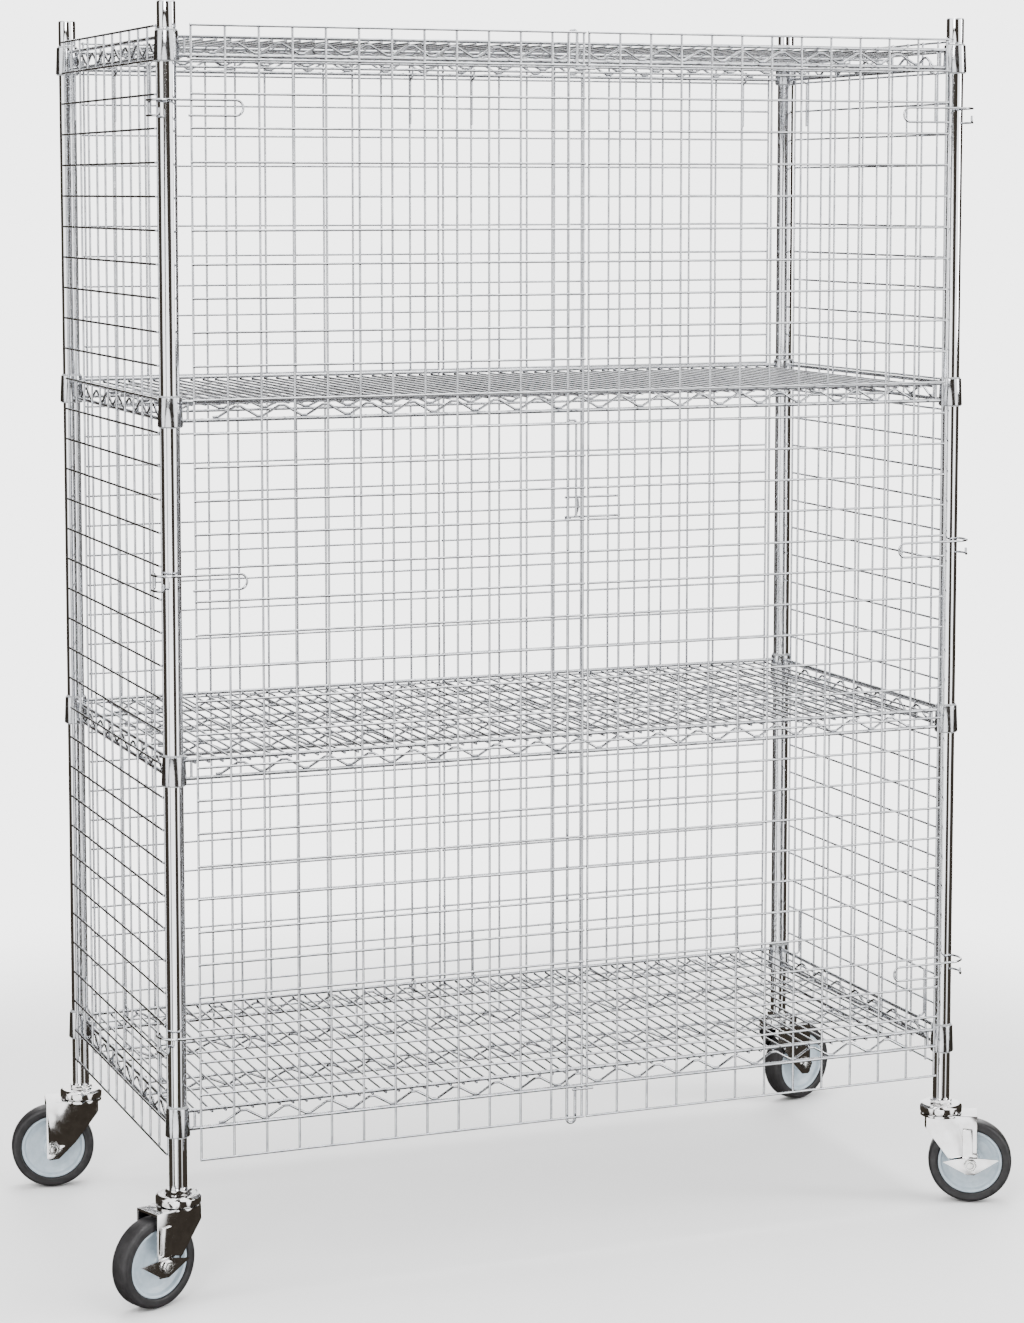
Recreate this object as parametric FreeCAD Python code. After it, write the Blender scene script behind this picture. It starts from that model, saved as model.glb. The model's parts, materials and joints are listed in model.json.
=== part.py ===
import FreeCAD, Part
import math
import os

# Mobile wire security cage: four wire shelves on four posts, closed by wire mesh on
# every side, with two mesh doors at the front, a turning latch bar and four casters.
# Millimetres.  +Z up, +X to the right, -Y towards the doors.  The origin lies on the
# floor at the centre of the four posts.

V = FreeCAD.Vector
UP = V(0, 0, 1)
ORIGIN = V(0, 0, 0)

# ---- overall layout
CAGE_LENGTH = 1178.2            # left to right, post centre to post centre
CAGE_DEPTH = 548.6              # front to back, post centre to post centre
POST_TOP = 1753.0

# ---- posts and caps
POST_R = 12.7
POST_WALL = 1.2
CAP_INSET = 0.3
CAP_THICK = 2.0
PLUG_DEPTH = 12.0
PLUG_CLEAR = 0.05
GROOVE_W = 1.6                  # rolled groove round the post, just above its top sleeve
GROOVE_DEEP = 0.4
GROOVE_LIFT = 0.7

# ---- shelves
SHELF_TOPS = {"bottom": 267.9, "lower": 750.5, "upper": 1233.1, "top": 1715.7}
COLLAR_H = 39.0
COLLAR_OVER_POST = 2.9          # collar's outer radius over the post's, at its top
COLLAR_FLARE = 1.6              # more at its lower end
COLLAR_WALL = 1.3
SLEEVE_CLEAR_POST = 0.05
SLEEVE_CLEAR_COLLAR = 0.10
SLEEVE_ABOVE = 2.0
SLEEVE_BELOW = 1.5
SLEEVE_SLIT = 0.6
ROD_D = 5.5                     # edge rods of the trusses
ROD_DROP = 7.0                  # collar top down to the top rod's centre
TRUSS_H = 25.0                  # top rod centre to bottom rod centre
ZIGZAG_D = 3.6
ZIGZAG_PERIOD = 62.0
ZIGZAG_FLAT = 8.0               # straight stretch welded along a rod
ZIGZAG_END = 11.3               # zigzag end to post
DECK_D = 3.4
DECK_PITCH = 19.3
DECK_FIRST = 16.7               # least distance, post to the first deck wire's centre
DECK_PAST_ROD = 2.0
INNER_ROD_D = 4.0               # rods of the two trusses under the deck
INNER_TRUSSES = 2
WELD = 0.3                      # how far welded wires sink into each other

# ---- mesh panels
MESH_D = 3.3
ROWS = 35
ROW_TOP = 1722.6
ROW_BOTTOM = 198.6
PANEL_COLUMNS = 13              # each door and each back panel
SIDE_COLUMNS = 12
PANEL_FIRST = 13.6              # post to a door's or back panel's first upright
SIDE_FIRST = 5.5                # post to a side panel's first upright
CENTRE_GAP = 8.0                # between the two middle uprights
OVERHANG = 2.5                  # wire ends past the last crossing wire
DOOR_GAP = 10.8                 # post to the doors' uprights
PANEL_OFFSET = 8.5              # post line to the back and side panels' uprights
HOOK_SHANK = 65.0
HOOK_TAIL = 11.0

# ---- hinge clips
CLIP_TOPS = (1625.0, 996.0, 368.0)
CLIP_H = 20.5                   # upper leg to lower leg
CLIP_REACH = 70.0               # past the door's first upright
CLIP_STUB = 5.0
CLIP_WRAP = 130.0               # degrees round the post, from straight in front
CLIP_RETURN = 48.0
CLIP_BEND = 4.0
CLIP_TAIL = 6.0

# ---- latch
LATCH_D = 4.0
LATCH_INSET = 21.0              # from the left door's last upright
LATCH_CLEAR = 0.3
LATCH_TOP = 1728.0
LATCH_BOTTOM = 187.0
LATCH_RETURN = 12.5
LATCH_LEG = 49.0
GRIP_ROW = 12
PRONG_ROW = 15
GUIDE_ROWS = (1, GRIP_ROW, PRONG_ROW, 33)
PRONG_GAP = 27.5
PRONG_REACH = 80.5
PRONG_STUB = 3.0                # past the bar's centre
GRIP_OUT = 12.5                 # bar's centre to the grip wire's
GRIP_BEND = 4.0
BOW_TOP = 16.0                  # bar's centre to the bowed wire, at its top, middle and foot
BOW_MIDDLE = 18.0
BOW_FOOT = 13.0
HANDLE_CLEAR = 0.55             # handle wire above the eye of its row
GUIDE_CLEAR = 0.06
GUIDE_R = 4.4
GUIDE_H = 4.0
GUIDE_LUG = 3.0
FINGER_ROWS = (1, 33)
FINGER_DROP = 4.6
FINGER_CLEAR = 0.3
FINGER_BACK = 16.0
FINGER_REACH = 16.0

# ---- casters (local: swivel axis on Z, trail along +X, axle along Y)
WHEEL_R = 62.5
TYRE_W = 32.0
RIM_R = 47.5
RIM_W = 26.0
RIM_T = 4.5
HUB_W = 37.0
HUB_R = 14.0
WEB_T = 7.0
TRAIL = 44.0
AXLE_R = 5.0
BOLT_CLEAR = 0.05
AXLE_CLEAR = 0.06
AXLE_SLEEVE_WALL = 2.45
FORK_T = 3.0
FORK_INNER = 39.0
CROWN_GAP = 6.0                 # wheel's top to the crown's underside
CROWN_T = 3.5
CROWN_R = 31.0
FORK_FRONT = 54.0
TYRE_ROOM = 3.5
BALLS = 12
BALL_R = 2.5
BALL_CIRCLE = 22.0
BALL_RISE = 8.7                 # crown's underside to the balls' centres
BALL_CLEAR = 0.1
RACE_W = 5.0
RACE_EDGE = 1.0
CUP_R = 31.5
CUP_WALL = 2.0
CUP_RISE = 5.5                  # crown's underside to the cup's lower edge
NUT_RISE = 18.0                 # crown's underside to the nut's lower face
POST_RISE = 24.0                # crown's underside to the post's lower end
NUT_ACROSS = 32.0
KINGPIN_R = 6.0
KINGPIN_CLEAR = 0.05
RIVET_R = 9.0
RIVET_T = 4.0
RIVET_CLEAR = 0.3
INSERT_CLEAR = 0.05
INSERT_L = 40.0
BOLT_HEAD_ACROSS = 16.0
BOLT_HEAD_T = 6.0
STRAP_T = 3.2
STRAP_W = 15.5
STRAP_X = 32.0                  # its edge nearer the swivel axis
STRAP_LIFT = 8.0                # its lower end above the axle
STRAP_L = 44.5
STRAP_FOOT_W = 23.0
STRAP_FOOT_L = 7.5
STRAP_CLEAR = 0.3
PEDAL_T = 2.5
PEDAL_CLEAR = 0.05
# where each caster trails at rest, and the side of the wheel that its brake is on
CASTERS = {
    "front_left": (V(-1, -1, 0), V(-0.92, -0.39, 0), 1),
    "front_right": (V(1, -1, 0), V(0.88, -0.47, 0), -1),
    "rear_left": (V(-1, 1, 0), V(-0.98, 0.17, 0), 0),
    "rear_right": (V(1, 1, 0), V(0.95, 0.32, 0), 0),
}

POST_X = CAGE_LENGTH / 2
POST_Y = CAGE_DEPTH / 2
ROW_PITCH = (ROW_TOP - ROW_BOTTOM) / (ROWS - 1)
PANEL_IN = POST_R + PANEL_FIRST
SIDE_IN = POST_R + SIDE_FIRST
ZIGZAG_IN = POST_R + ZIGZAG_END
DECK_IN = POST_R + DECK_FIRST
PANEL_PITCH = (POST_X - CENTRE_GAP / 2 - PANEL_IN) / (PANEL_COLUMNS - 1)
SIDE_PITCH = (CAGE_DEPTH - 2 * SIDE_IN) / (SIDE_COLUMNS - 1)
CAP_R = POST_R - CAP_INSET
COLLAR_R_TOP = POST_R + COLLAR_OVER_POST
COLLAR_R_BOTTOM = COLLAR_R_TOP + COLLAR_FLARE
DOOR_OFFSET = POST_R + DOOR_GAP
COLLAR_TAPER = (COLLAR_R_BOTTOM - COLLAR_R_TOP) / COLLAR_H
CLIP_R = DOOR_OFFSET + MESH_D
LATCH_X = -CENTRE_GAP / 2 - LATCH_INSET
LATCH_Y = -POST_Y - DOOR_OFFSET + MESH_D / 2 + LATCH_CLEAR + LATCH_D / 2
PRONG_Y = LATCH_Y + LATCH_D / 2 + MESH_D / 2
FORK_BOTTOM_CROWN = 2 * WHEEL_R + CROWN_GAP
CROWN_TOP = FORK_BOTTOM_CROWN + CROWN_T
BALL_Z = FORK_BOTTOM_CROWN + BALL_RISE
CUP_BOTTOM = FORK_BOTTOM_CROWN + CUP_RISE
NUT_Z = FORK_BOTTOM_CROWN + NUT_RISE
POST_BOTTOM = FORK_BOTTOM_CROWN + POST_RISE
FORK_OUTER = FORK_INNER / 2 + FORK_T
STRAP_OUT = FORK_OUTER + STRAP_T
PEDAL_Y = STRAP_OUT + STRAP_CLEAR
PEDAL_OUT = PEDAL_Y + PEDAL_T


def row_z(row):
    """Height of a panel's cross wire, counted down from the top one."""
    return ROW_TOP - row * ROW_PITCH


# ---- wires

def ring(centre, along, normal, across):
    """Corners of an eight-sided wire's section, with a flat facing the normal."""
    corner_r = across / 2 / math.cos(math.pi / 8)
    side = along.cross(normal)
    corners = []
    for corner in range(8):
        turn = (corner + 0.5) * math.pi / 4
        corners.append(centre + normal * (corner_r * math.cos(turn)) + side * (corner_r * math.sin(turn)))
    return corners


def slide(corners, along, point, plane):
    """Carry a section along a run until it meets the plane through a point."""
    return [c + along * ((point - c).dot(plane) / along.dot(plane)) for c in corners]


def flat_wire(points, normal, across):
    """Eight-sided wire through the points, mitred at each corner."""
    runs = [(b - a).normalize() for a, b in zip(points, points[1:])]
    planes = [runs[0]] + [a + b for a, b in zip(runs, runs[1:])] + [runs[-1]]
    section = ring(points[0], runs[0], normal, across)
    faces = [Part.Face(Part.makePolygon(section + section[:1]))]
    for run, point, plane in zip(runs, points[1:], planes[1:]):
        following = slide(section, run, point, plane)
        for i in range(8):
            j = (i + 1) % 8
            quad = [section[i], section[j], following[j], following[i], section[i]]
            faces.append(Part.Face(Part.makePolygon(quad)))
        section = following
    faces.append(Part.Face(Part.makePolygon(section + section[:1])))
    shell = Part.makeShell(faces)
    shell.sewShape()
    solid = Part.makeSolid(shell)
    if solid.Volume < 0:
        solid.reverse()
    return solid


def along_x(x0, x1, y, z, across):
    return flat_wire([V(x0, y, z), V(x1, y, z)], V(0, 1, 0), across)


def along_y(y0, y1, x, z, across):
    return flat_wire([V(x, y0, z), V(x, y1, z)], UP, across)


def along_z(z0, z1, x, y, across):
    return flat_wire([V(x, y, z0), V(x, y, z1)], V(0, 1, 0), across)


def line(a, b):
    return Part.makeLine(a, b)


def arc(a, middle, b):
    return Part.Arc(a, middle, b).toShape()


def quarter(start, centre, end):
    """Quarter circle between two points about a centre."""
    middle = centre + ((start - centre) + (end - centre)).normalize() * start.distanceToPoint(centre)
    return arc(start, middle, end)


def round_wire(edges, across):
    """Round wire along straight and curved edges that run smoothly into each other."""
    path = Part.Wire(edges)
    start = edges[0].Vertexes[0].Point
    heading = edges[0].tangentAt(edges[0].FirstParameter)
    section = Part.Wire(Part.makeCircle(across / 2, start, heading))
    return path.makePipeShell([section], True, True)


def joined(pieces):
    """One solid from pieces that are welded together."""
    return pieces[0].multiFuse(pieces[1:]).Solids[0]


def mirrored(shape):
    """The same piece for the right-hand side."""
    return shape.mirror(ORIGIN, V(1, 0, 0))


def save(node, pieces):
    """Write one node: a single piece, or a group of separate ones."""
    shape = pieces[0] if len(pieces) == 1 else Part.makeCompound(pieces)
    shape.exportStep("parts/" + node + ".step")


def at_posts():
    """Post centres, each with the name of its corner."""
    for corner, (side, _, _) in CASTERS.items():
        yield corner, V(side.x * POST_X, side.y * POST_Y, 0)


# ---- posts

def post(place):
    """Tube with the rolled groove that ends the bare stretch above the top shelf."""
    height = POST_TOP - POST_BOTTOM
    base = V(place.x, place.y, POST_BOTTOM)
    groove_z = SHELF_TOPS["top"] + SLEEVE_ABOVE + GROOVE_LIFT
    tube = Part.makeCylinder(POST_R, height, base).cut(Part.makeCylinder(POST_R - POST_WALL, height, base))
    low = V(place.x, place.y, groove_z)
    outer = Part.makeCylinder(POST_R + GROOVE_DEEP, GROOVE_W, low)
    inner = Part.makeCylinder(POST_R - GROOVE_DEEP, GROOVE_W, low)
    return tube.cut(outer.cut(inner))


def post_cap(place):
    top = V(place.x, place.y, POST_TOP)
    plug = Part.makeCylinder(POST_R - POST_WALL - PLUG_CLEAR, PLUG_DEPTH, top - UP * PLUG_DEPTH)
    disc = Part.makeCylinder(CAP_R, CAP_THICK, top)
    disc = disc.makeFillet(CAP_THICK / 2, [disc.Edges[0]])
    return plug.fuse(disc).removeSplitter()


# ---- shelves

def collar_bore(below_top):
    """Radius of a collar's tapered bore at a distance below the collar's top."""
    return COLLAR_R_TOP - COLLAR_WALL + COLLAR_TAPER * below_top


def collar(x, y):
    base = V(x, y, -COLLAR_H)
    outside = Part.makeCone(COLLAR_R_BOTTOM, COLLAR_R_TOP, COLLAR_H, base)
    bore = Part.makeCone(collar_bore(COLLAR_H), collar_bore(0), COLLAR_H, base)
    return outside, bore


def zigzag(half_length, z_high, z_low):
    """Bent wire of a truss, along X, symmetric about its middle."""
    step = ZIGZAG_PERIOD / 2
    bends = int((half_length - ZIGZAG_FLAT / 2) / step)
    points = []
    for bend in range(-bends, bends + 1):
        z = z_high if bend % 2 == 0 else z_low
        points.append(V(bend * step - ZIGZAG_FLAT / 2, 0, z))
        points.append(V(bend * step + ZIGZAG_FLAT / 2, 0, z))
    return flat_wire(points, V(0, 1, 0), ZIGZAG_D)


def edge_truss(span):
    """Two rods and a zigzag between the collars, along X at Y = 0."""
    top = -ROD_DROP
    bottom = top - TRUSS_H
    reach = span / 2 - (COLLAR_R_TOP - COLLAR_WALL / 2)
    weave_top = deck_z() - (DECK_D + ZIGZAG_D) / 2 + WELD
    weave_bottom = bottom + (ROD_D + ZIGZAG_D) / 2 - WELD
    end = span / 2 - ZIGZAG_IN
    pieces = [along_x(-reach, reach, 0, z, ROD_D) for z in (top, bottom)]
    pieces.append(zigzag(end - ZIGZAG_PERIOD / 4, weave_top, weave_bottom))
    for x in (-end, end):
        pieces.append(along_z(bottom, top, x, 0, ZIGZAG_D))
    return pieces


def deck_z():
    """The deck wires pass just under the front and back top rods."""
    return -ROD_DROP - (ROD_D + DECK_D) / 2 + WELD


def inner_truss(y):
    """Truss under the deck, from one side truss to the other."""
    top = deck_z() - (DECK_D + INNER_ROD_D) / 2 + WELD
    bottom = -ROD_DROP - TRUSS_H
    stand = POST_X - (ROD_D + ZIGZAG_D) / 2 + WELD
    gap = (INNER_ROD_D + ZIGZAG_D) / 2 - WELD
    pieces = [along_x(-stand, stand, y, z, INNER_ROD_D) for z in (top, bottom)]
    weave = zigzag(stand - ZIGZAG_PERIOD / 4, top - gap, bottom + gap)
    weave.translate(V(0, y, 0))
    pieces.append(weave)
    for x in (-stand, stand):
        pieces.append(along_z(bottom - ROD_D / 2, -ROD_DROP + ROD_D / 2, x, y, ZIGZAG_D))
    return pieces


def shelf():
    """One welded shelf, with its collars' tops at Z = 0."""
    pieces = []
    for y in (-POST_Y, POST_Y):
        for piece in edge_truss(CAGE_LENGTH):
            piece.translate(V(0, y, 0))
            pieces.append(piece)
    for x in (-POST_X, POST_X):
        for piece in edge_truss(CAGE_DEPTH):
            piece.rotate(ORIGIN, UP, 90)
            piece.translate(V(x, 0, 0))
            pieces.append(piece)
    wires = int((CAGE_LENGTH - 2 * DECK_IN) / DECK_PITCH + 0.001) + 1
    first = -(wires - 1) / 2 * DECK_PITCH
    reach = POST_Y + DECK_PAST_ROD
    for wire in range(wires):
        pieces.append(along_y(-reach, reach, first + wire * DECK_PITCH, deck_z(), DECK_D))
    for truss in range(INNER_TRUSSES):
        pieces += inner_truss(CAGE_DEPTH * ((truss + 1) / (INNER_TRUSSES + 1) - 0.5))
    bores = []
    for _, place in at_posts():
        outside, bore = collar(place.x, place.y)
        pieces.append(outside)
        bores.append(bore)
    return joined(pieces).cut(Part.makeCompound(bores)).Solids[0]


def sleeve_halves(place, shelf_top):
    """Split plastic sleeve that the tapered collar drives onto the post."""
    high = V(place.x, place.y, shelf_top + SLEEVE_ABOVE)
    height = SLEEVE_ABOVE + COLLAR_H + SLEEVE_BELOW
    low = high - UP * height
    r_high = collar_bore(-SLEEVE_ABOVE) - SLEEVE_CLEAR_COLLAR
    r_low = collar_bore(COLLAR_H + SLEEVE_BELOW) - SLEEVE_CLEAR_COLLAR
    cone = Part.makeCone(r_low, r_high, height, low)
    cone = cone.cut(Part.makeCylinder(POST_R + SLEEVE_CLEAR_POST, height, low))
    wide = 2 * COLLAR_R_BOTTOM
    slit = Part.makeBox(SLEEVE_SLIT, 2 * wide, height, low - V(SLEEVE_SLIT / 2, wide, 0))
    return cone.cut(slit).Solids


# ---- mesh panels

def mesh(columns, pitch):
    """Flat panel in the XZ plane from X = 0: uprights at Y = 0, cross wires at Y < 0."""
    width = (columns - 1) * pitch
    layer = -(MESH_D - WELD)
    pieces = []
    for column in range(columns):
        pieces.append(along_z(ROW_BOTTOM - OVERHANG, ROW_TOP + OVERHANG, column * pitch, 0, MESH_D))
    for row in range(ROWS):
        pieces.append(along_x(-OVERHANG, width + OVERHANG, layer, row_z(row), MESH_D))
    return joined(pieces)


def placed(shape, place, turn=0):
    """A copy, turned about Z and then moved."""
    copy = shape.copy()
    copy.rotate(ORIGIN, UP, turn)
    copy.translate(place)
    return copy


def panel_hook(rod_z, way):
    """Wire hook on the inside of a panel that holds it to a shelf's rod, at X = 0.

    Y counts outwards from the rod's centre.  The shank runs up from the rod where
    way is 1, and down from it where way is -1.
    """
    out = PANEL_OFFSET - MESH_D
    up = UP * way
    rod = V(0, 0, rod_z)
    turn = rod + up * (2 * out)
    shank_end = turn + V(0, out, 0)
    crossing = rod + up * out
    inside = rod - V(0, out, 0)
    edges = [
        line(shank_end + up * HOOK_SHANK, shank_end),
        quarter(shank_end, turn, crossing),
        quarter(crossing, rod, inside),
        line(inside, inside - up * HOOK_TAIL),
    ]
    return round_wire(edges, MESH_D)


def panel_hooks():
    """The top and bottom hooks of one upright."""
    top_rod = SHELF_TOPS["top"] - ROD_DROP - TRUSS_H
    bottom_rod = SHELF_TOPS["bottom"] - ROD_DROP
    return [panel_hook(top_rod, -1), panel_hook(bottom_rod, 1)]


# ---- hinge clips

def round_post(angle, z):
    """Point on the clips' circle round a left post; 0 degrees is straight in front."""
    turn = math.radians(angle)
    return V(-CLIP_R * math.sin(turn), -CLIP_R * math.cos(turn), z)


def hinge_clip(top):
    """One bent wire, about the left post's axis."""
    low = top - CLIP_H
    first = PANEL_IN
    bend = CLIP_H / 2
    far = first + CLIP_REACH - bend
    front = -CLIP_R
    wrap_half = CLIP_WRAP / 2
    return_half = (CLIP_WRAP + CLIP_RETURN) / 2
    turn = math.radians(CLIP_WRAP)
    ahead = V(-math.cos(turn), math.sin(turn), 0)
    a = round_post(CLIP_WRAP, top)
    b = a + ahead * CLIP_BEND - UP * CLIP_BEND
    c = V(b.x, b.y, low + CLIP_BEND)
    d = round_post(CLIP_WRAP, low)
    e = round_post(CLIP_RETURN, low)
    turn = math.radians(CLIP_RETURN)
    homeward = V(math.cos(turn), -math.sin(turn), 0)
    f = e + homeward * CLIP_BEND + UP * CLIP_BEND
    edges = [
        line(V(first - CLIP_STUB, front, low), V(far, front, low)),
        arc(V(far, front, low), V(far + bend, front, low + bend), V(far, front, top)),
        line(V(far, front, top), V(0, front, top)),
        arc(V(0, front, top), round_post(wrap_half, top), a),
        quarter(a, a - UP * CLIP_BEND, b),
        line(b, c),
        quarter(c, d + UP * CLIP_BEND, d),
        arc(d, round_post(return_half, low), e),
        quarter(e, e + UP * CLIP_BEND, f),
        line(f, f + UP * CLIP_TAIL),
    ]
    return round_wire(edges, MESH_D)


def left_clips():
    return [placed(hinge_clip(top), V(-POST_X, -POST_Y, 0)) for top in CLIP_TOPS]


# ---- latch

def latch_bar():
    """Long bar with a tight hairpin at each end."""
    r = LATCH_RETURN / 2
    bar = LATCH_X
    back = LATCH_X + LATCH_RETURN
    y = LATCH_Y
    high = LATCH_TOP - LATCH_D / 2 - r
    low = LATCH_BOTTOM + LATCH_D / 2 + r
    edges = [
        line(V(back, y, high - LATCH_LEG), V(back, y, high)),
        arc(V(back, y, high), V(bar + r, y, high + r), V(bar, y, high)),
        line(V(bar, y, high), V(bar, y, low)),
        arc(V(bar, y, low), V(bar + r, y, low - r), V(back, y, low)),
        line(V(back, y, low), V(back, y, low + LATCH_LEG)),
    ]
    return round_wire(edges, LATCH_D)


def above_eye(row):
    """Centre height of a handle wire that passes just above a row's eye."""
    return row_z(row) + GUIDE_H / 2 + HANDLE_CLEAR + MESH_D / 2


def latch_handle():
    """Two prongs joined by a bowed wire, and the grip that comes down from the bar past both."""
    low = above_eye(PRONG_ROW)
    high = low + PRONG_GAP
    top = above_eye(GRIP_ROW)
    length = PRONG_STUB + PRONG_REACH
    start = LATCH_X - PRONG_STUB
    along = V(1, 0, 0)
    prongs = [Part.makeCylinder(MESH_D / 2, length, V(start, PRONG_Y, z), along) for z in (low, high)]
    front = PRONG_Y - MESH_D + WELD
    side = LATCH_X + GRIP_OUT
    turn = side - GRIP_BEND
    bend = GRIP_BEND * (1 - math.sqrt(0.5))
    grip = round_wire([
        line(V(LATCH_X + LATCH_D / 2, front, top), V(turn, front, top)),
        arc(V(turn, front, top), V(side - bend, front, top - bend), V(side, front, top - GRIP_BEND)),
        line(V(side, front, top - GRIP_BEND), V(side, front, low - MESH_D / 2)),
    ], MESH_D)
    back = PRONG_Y + MESH_D - WELD
    bow = round_wire([arc(
        V(LATCH_X + BOW_TOP, back, high + MESH_D / 2),
        V(LATCH_X + BOW_MIDDLE, back, (low + high) / 2),
        V(LATCH_X + BOW_FOOT, back, low - MESH_D / 2),
    )], MESH_D)
    return [joined([*prongs, grip, bow])]


def latch_guide(row):
    """Eye that the latch bar turns in, on a lug welded to one of the door's cross wires."""
    base = V(LATCH_X, LATCH_Y, row_z(row) - GUIDE_H / 2)
    wire_face = -POST_Y - DOOR_OFFSET - (MESH_D - WELD) + MESH_D / 2
    eye = Part.makeCylinder(GUIDE_R, GUIDE_H, base)
    lug = Part.makeBox(GUIDE_LUG, LATCH_Y - wire_face, GUIDE_H, V(LATCH_X - GUIDE_LUG / 2, wire_face, base.z))
    bore = Part.makeCylinder(LATCH_D / 2 + GUIDE_CLEAR, GUIDE_H, base)
    return eye.fuse(lug).cut(bore).Solids[0]


def stop_finger(row):
    """Short wire from the left door that the right door's edge closes behind."""
    y = -POST_Y - DOOR_OFFSET - MESH_D - FINGER_CLEAR
    z = row_z(row) - FINGER_DROP
    x = -CENTRE_GAP / 2
    foot = -POST_Y - DOOR_OFFSET - MESH_D
    jog = 3 * MESH_D / 2
    points = [V(x - FINGER_BACK, foot, z), V(x, foot, z), V(x + jog, y, z), V(x + FINGER_REACH, y, z)]
    return flat_wire(points, UP, MESH_D)


# ---- casters

def turned(profile, place, heading):
    """Solid of revolution about Z from (radius, height) points, then stood along heading."""
    points = [V(r, 0, h) for r, h in profile]
    solid = Part.Face(Part.makePolygon(points + points[:1])).revolve(ORIGIN, UP, 360)
    solid.Placement = FreeCAD.Placement(place, FreeCAD.Rotation(UP, heading))
    return solid


def hexagon(across, height, place, heading):
    corners = []
    for corner in range(7):
        turn = corner * math.pi / 3
        corners.append(V(math.cos(turn), math.sin(turn), 0) * (across / 2 / math.cos(math.pi / 6)))
    solid = Part.Face(Part.makePolygon(corners)).extrude(UP * height)
    solid.Placement = FreeCAD.Placement(place, FreeCAD.Rotation(UP, heading))
    return solid


def on_axle(profile):
    """Wheel part from (radius, distance along the axle) points."""
    return turned(profile, V(TRAIL, 0, WHEEL_R), V(0, 1, 0))


def axle_cylinder(r, y0, y1):
    return Part.makeCylinder(r, y1 - y0, V(TRAIL, y0, WHEEL_R), V(0, 1, 0))


def ball_groove():
    return Part.makeTorus(BALL_CIRCLE, BALL_R + BALL_CLEAR, V(0, 0, BALL_Z))


def caster_stem():
    """Insert for the post, nut, upper race cup and kingpin, in one turned piece."""
    insert_r = POST_R - POST_WALL - INSERT_CLEAR
    rivet_top = FORK_BOTTOM_CROWN - RIVET_CLEAR
    race = BALL_Z + RACE_EDGE
    groove_in = BALL_CIRCLE - RACE_W
    profile = [
        (0, rivet_top - RIVET_T),
        (RIVET_R - 2, rivet_top - RIVET_T),
        (RIVET_R, rivet_top - 2),
        (RIVET_R, rivet_top),
        (KINGPIN_R, rivet_top),
        (KINGPIN_R, race + RACE_EDGE),
        (groove_in, race + RACE_EDGE),
        (groove_in, race),
        (CUP_R - CUP_WALL, race),
        (CUP_R - CUP_WALL, CUP_BOTTOM),
        (CUP_R, CUP_BOTTOM),
        (CUP_R, NUT_Z - 3),
        (CUP_R - 3, NUT_Z),
        (insert_r, NUT_Z),
        (insert_r, POST_BOTTOM + INSERT_L - 2),
        (insert_r - 2, POST_BOTTOM + INSERT_L),
        (0, POST_BOTTOM + INSERT_L),
    ]
    body = turned(profile, ORIGIN, UP).cut(ball_groove())
    nut = hexagon(NUT_ACROSS, POST_BOTTOM - NUT_Z, V(0, 0, NUT_Z), UP)
    return body.fuse(nut).Solids[0]


def fork_side():
    """Outline of a fork leg, seen from the side."""
    top = CROWN_TOP
    axle = WHEEL_R
    outline = [
        (-CROWN_R, top), (-CROWN_R, top - 6.5), (-25, top - 16.5), (-11, axle + 37), (10, axle + 9.1),
        (27, axle - 7.9), (36, axle - 16.5), (50, axle - 18), (FORK_FRONT, axle - 14.5), (FORK_FRONT, top),
    ]
    points = [V(x, -FORK_OUTER - CROWN_R, z) for x, z in outline]
    face = Part.Face(Part.makePolygon(points + points[:1]))
    return face.extrude(V(0, 2 * (FORK_OUTER + CROWN_R), 0))


def fork():
    """Pressed fork: a round crown, two legs and the lower race."""
    plan = Part.makeCylinder(CROWN_R, CROWN_TOP)
    crown = plan.common(Part.makeBox(200, 200, CROWN_T, V(-100, -100, FORK_BOTTOM_CROWN)))
    legs = Part.makeBox(FORK_FRONT + CROWN_R, 2 * FORK_OUTER, CROWN_TOP, V(-CROWN_R, -FORK_OUTER, 0))
    legs = legs.common(fork_side()).common(plan.fuse(Part.makeBox(
        FORK_FRONT, 2 * FORK_OUTER, CROWN_TOP, V(0, -FORK_OUTER, 0))))
    pocket = Part.makeBox(200, FORK_INNER, FORK_BOTTOM_CROWN, V(-100 - FORK_T, -FORK_INNER / 2, 0))
    room = axle_cylinder(WHEEL_R + TYRE_ROOM, -FORK_INNER / 2, FORK_INNER / 2)
    race_top = BALL_Z - RACE_EDGE
    race = Part.makeCylinder(BALL_CIRCLE + RACE_W, race_top - CROWN_TOP, V(0, 0, CROWN_TOP))
    race = race.cut(Part.makeCylinder(BALL_CIRCLE - RACE_W, race_top, ORIGIN)).cut(ball_groove())
    body = legs.cut(pocket).fuse(crown).fuse(race)
    body = body.cut(room)
    body = body.cut(Part.makeCylinder(KINGPIN_R + KINGPIN_CLEAR, CROWN_TOP))
    body = body.cut(axle_cylinder(AXLE_R + BOLT_CLEAR, -FORK_OUTER, FORK_OUTER))
    return body.removeSplitter().Solids[0]


def swivel_balls():
    balls = []
    for ball in range(BALLS):
        turn = 2 * math.pi * ball / BALLS
        place = V(BALL_CIRCLE * math.cos(turn), BALL_CIRCLE * math.sin(turn), BALL_Z)
        balls.append(Part.makeSphere(BALL_R, place))
    return balls


def axle_sleeve():
    half = FORK_INNER / 2
    outside = axle_cylinder(AXLE_R + BOLT_CLEAR + AXLE_SLEEVE_WALL, -half, half)
    return outside.cut(axle_cylinder(AXLE_R + BOLT_CLEAR, -half, half))


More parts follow.
